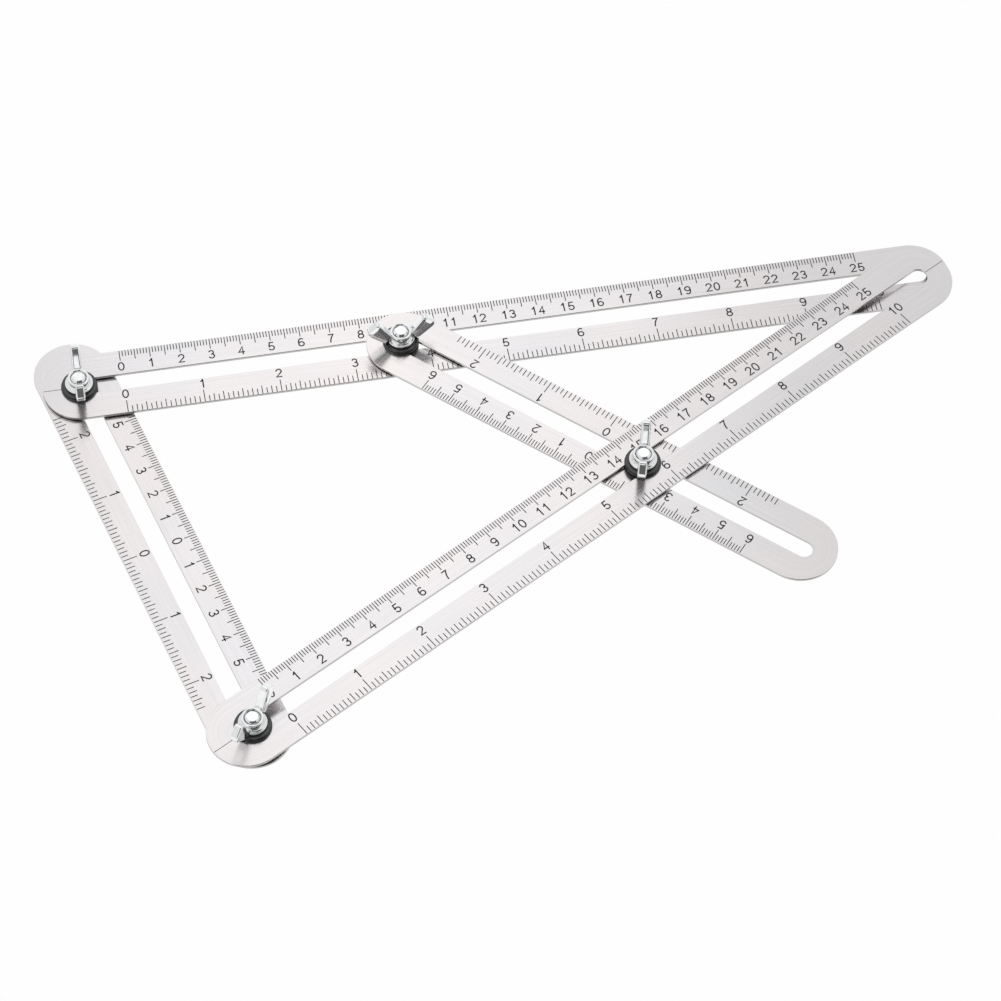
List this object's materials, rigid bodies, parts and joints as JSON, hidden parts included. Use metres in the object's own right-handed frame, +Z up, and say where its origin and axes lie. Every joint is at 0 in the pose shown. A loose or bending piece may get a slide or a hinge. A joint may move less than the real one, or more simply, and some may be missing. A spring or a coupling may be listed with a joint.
{
  "type": "multi-angle folding ruler",
  "caption": "Folding ruler of slotted steel arms joined in a ring by bolts with wing nuts, for taking off and marking out angles and shapes.",
  "frame": {"origin": "middle of the flat lower face of the upper corner bolt's head", "axes": "+X along the upper long arm toward its free end, +Z up out of the bolts"},
  "size_m": [0.3094, 0.1718, 0.0185],
  "materials": {
    "brushed_steel": "satin",
    "zinc_plate": "polished",
    "black_nylon": "matte",
    "black_rubber": "matte",
    "black_paint": "satin"
  },
  "bodies": {
    "upper_arm": {"upper_long_arm": "brushed_steel"},
    "upper_corner_slider": {"upper_corner_spacer": "black_nylon", "upper_corner_friction_washer": "black_rubber"},
    "left_arm_bolts": {"upper_corner_bolt": "zinc_plate", "lower_corner_bolt": "zinc_plate"},
    "left_arm": {"left_short_arm": "brushed_steel"},
    "lower_corner_pivot": {"lower_corner_spacer": "black_nylon", "lower_corner_friction_washer": "black_rubber"},
    "diagonal_arm": {"diagonal_long_arm": "brushed_steel"},
    "diagonal_cross_slider": {"diagonal_cross_spacer": "black_nylon", "diagonal_cross_friction_washer": "black_rubber"},
    "diagonal_cross_swivel": {"diagonal_cross_bolt": "zinc_plate"},
    "upper_cross_slider": {"upper_cross_bolt": "zinc_plate"},
    "upper_cross_pivot": {"upper_cross_spacer": "black_nylon", "upper_cross_friction_washer": "black_rubber"},
    "cross_arm": {"cross_short_arm": "brushed_steel"},
    "upper_corner_washer": {"upper_corner_flat_washer": "black_paint"},
    "upper_corner_nut": {"upper_corner_wing_nut": "zinc_plate"},
    "upper_cross_washer": {"upper_cross_flat_washer": "black_paint"},
    "upper_cross_nut": {"upper_cross_wing_nut": "zinc_plate"},
    "diagonal_cross_washer": {"diagonal_cross_flat_washer": "black_paint"},
    "diagonal_cross_nut": {"diagonal_cross_wing_nut": "zinc_plate"},
    "lower_corner_washer": {"lower_corner_flat_washer": "black_paint"},
    "lower_corner_nut": {"lower_corner_wing_nut": "zinc_plate"}
  },
  "joints": [
    {"name": "upper_arm_slide", "type": "slide", "parent": "upper_arm", "child": "upper_corner_slider", "axis": [1, 0, 0], "range_m": [-0.0012, 0.17]},
    {"name": "upper_cross_slide", "type": "slide", "parent": "upper_arm", "child": "upper_cross_slider", "axis": [1, 0, 0], "range_m": [-0.0013, 0.1702]},
    {"name": "fold", "type": "hinge", "parent": "upper_corner_slider", "child": "left_arm_bolts", "pos_m": [0, 0, 0.004], "axis": [0, 0, 1], "range_deg": [-40, 45]},
    {"name": "left_arm_slide", "type": "slide", "parent": "left_arm_bolts", "child": "left_arm", "axis": [0.2588, -0.9659, 0], "range_m": [-0.0006, 0.0078]},
    {"name": "lower_corner_turn", "type": "hinge", "parent": "left_arm_bolts", "child": "lower_corner_pivot", "pos_m": [0.03721, -0.13885, 0.004], "axis": [0, 0, 1], "range_deg": [-14.1, 12.6]},
    {"name": "diagonal_arm_slide", "type": "slide", "parent": "lower_corner_pivot", "child": "diagonal_arm", "axis": [-0.8759, -0.4825, 0], "range_m": [-0.0044, 0.12]},
    {"name": "diagonal_cross_slide", "type": "slide", "parent": "lower_corner_pivot", "child": "diagonal_cross_slider", "axis": [0.8759, 0.4825, 0], "range_m": [-0.1008, 0.0897]},
    {"name": "diagonal_cross_turn", "type": "hinge", "parent": "diagonal_cross_slider", "child": "diagonal_cross_swivel", "pos_m": [0.17594, -0.06242, 0.004], "axis": [0, 0, 1], "range_deg": [-14, 12.5]},
    {"name": "upper_cross_turn", "type": "hinge", "parent": "upper_cross_slider", "child": "upper_cross_pivot", "pos_m": [0.107, 0, 0.004], "axis": [0, 0, 1], "range_deg": [-15.3, 17.2]},
    {"name": "cross_arm_slide", "type": "slide", "parent": "upper_cross_pivot", "child": "cross_arm", "axis": [-0.7413, 0.6711, 0], "range_m": [-0.0006, 0.058]},
    {"name": "upper_corner_nut_lift", "type": "slide", "parent": "upper_corner_slider", "child": "upper_corner_washer", "axis": [0, 0, 1], "range_m": [0, 0.0016]},
    {"name": "upper_corner_nut_turn", "type": "hinge", "parent": "upper_corner_washer", "child": "upper_corner_nut", "pos_m": [0, 0, 0.004], "axis": [0, 0, 1], "range_deg": [0, 721]},
    {"name": "upper_cross_nut_lift", "type": "slide", "parent": "upper_cross_pivot", "child": "upper_cross_washer", "axis": [0, 0, 1], "range_m": [0, 0.0016]},
    {"name": "upper_cross_nut_turn", "type": "hinge", "parent": "upper_cross_washer", "child": "upper_cross_nut", "pos_m": [0.107, 0, 0.004], "axis": [0, 0, 1], "range_deg": [0, 721]},
    {"name": "diagonal_cross_nut_lift", "type": "slide", "parent": "diagonal_cross_slider", "child": "diagonal_cross_washer", "axis": [0, 0, 1], "range_m": [0, 0.0016]},
    {"name": "diagonal_cross_nut_turn", "type": "hinge", "parent": "diagonal_cross_washer", "child": "diagonal_cross_nut", "pos_m": [0.17594, -0.06242, 0.004], "axis": [0, 0, 1], "range_deg": [0, 721]},
    {"name": "lower_corner_nut_lift", "type": "slide", "parent": "lower_corner_pivot", "child": "lower_corner_washer", "axis": [0, 0, 1], "range_m": [0, 0.0016]},
    {"name": "lower_corner_nut_turn", "type": "hinge", "parent": "lower_corner_washer", "child": "lower_corner_nut", "pos_m": [0.03721, -0.13885, 0.004], "axis": [0, 0, 1], "range_deg": [0, 721]}
  ],
  "couplings": [
    {"joint": "upper_cross_slide", "follows": "upper_arm_slide", "ratio": 1},
    {"joint": "lower_corner_turn", "follows": "fold", "ratio": -0.311},
    {"joint": "diagonal_cross_slide", "follows": "fold", "m_per_rad": -0.12796},
    {"joint": "diagonal_cross_turn", "follows": "fold", "ratio": -0.3094},
    {"joint": "upper_cross_turn", "follows": "fold", "ratio": 0.3796},
    {"joint": "upper_corner_nut_turn", "follows": "upper_corner_nut_lift", "rad_per_m": 7854},
    {"joint": "upper_cross_nut_turn", "follows": "upper_cross_nut_lift", "rad_per_m": 7854},
    {"joint": "diagonal_cross_nut_turn", "follows": "diagonal_cross_nut_lift", "rad_per_m": 7854},
    {"joint": "lower_corner_nut_turn", "follows": "lower_corner_nut_lift", "rad_per_m": 7854}
  ]
}
